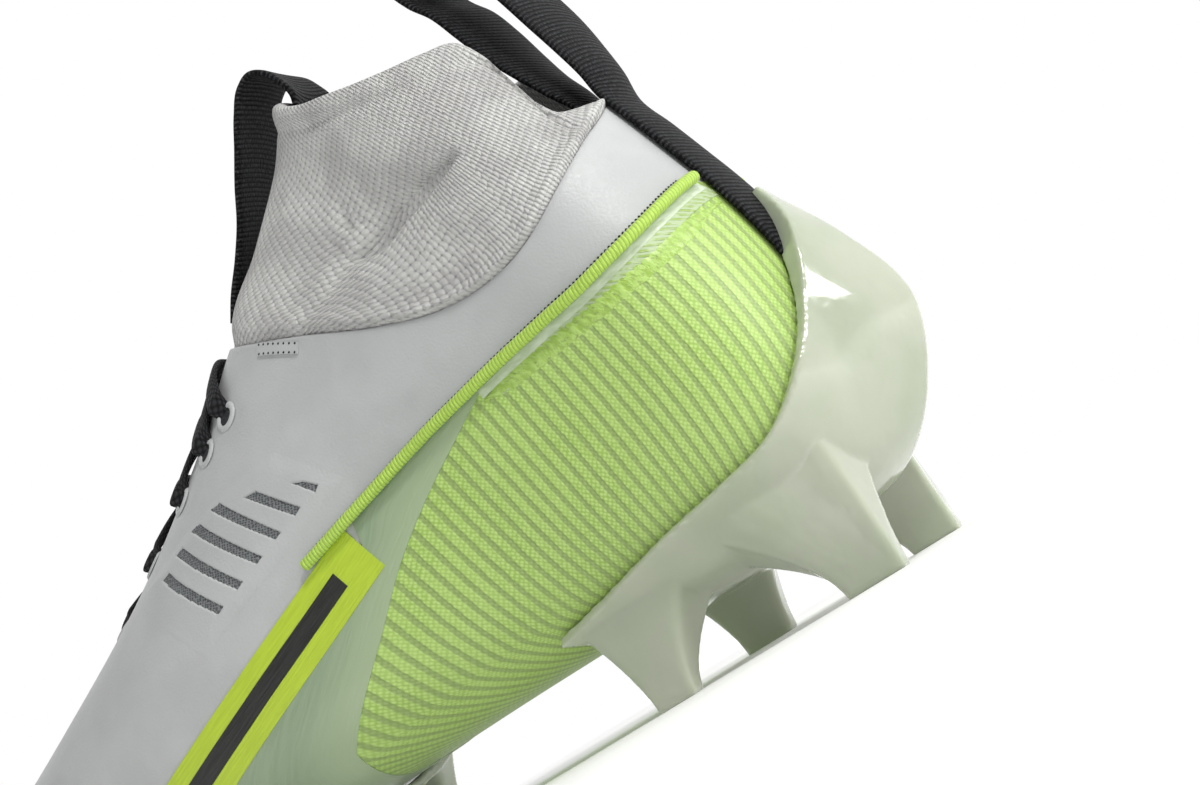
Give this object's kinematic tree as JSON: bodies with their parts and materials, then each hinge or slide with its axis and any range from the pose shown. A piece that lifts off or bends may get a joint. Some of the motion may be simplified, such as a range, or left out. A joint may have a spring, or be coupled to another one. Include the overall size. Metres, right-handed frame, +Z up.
{
  "type": "american football cleat",
  "caption": "Left american football cleat with a knit ankle collar, a wrapped textile upper, pull loops at heel and front, and a split moulded sole with bladed studs.",
  "frame": {"origin": "middle of the shoe's footprint, on the plane that the stud tips stand on", "axes": "+Z up, -X towards the toe, +X towards the heel, -Y towards the outer (lateral) side of the left foot"},
  "size_m": [0.2927, 0.1039, 0.1639],
  "materials": {
    "coated_upper": "light grey film-coated textile, satin",
    "collar_knit": "light grey engineered knit, matt",
    "insole_foam": "black cloth over foam, matt",
    "moulded_plate": "milky translucent moulded thermoplastic, gloss",
    "black_webbing": "black ribbed webbing, matt",
    "lime_textile": "lime corded textile, satin",
    "lace_braid": "black flat braid, matt"
  },
  "bodies": {
    "root": {"upper": "coated_upper", "collar_tongue": "collar_knit", "insole": "insole_foam", "heel_plate": "moulded_plate", "forefoot_plate": "moulded_plate", "heel_loop": "black_webbing", "front_loop": "black_webbing", "piping_lateral": "lime_textile", "piping_medial": "lime_textile", "lace": "lace_braid"}
  },
  "joints": []
}
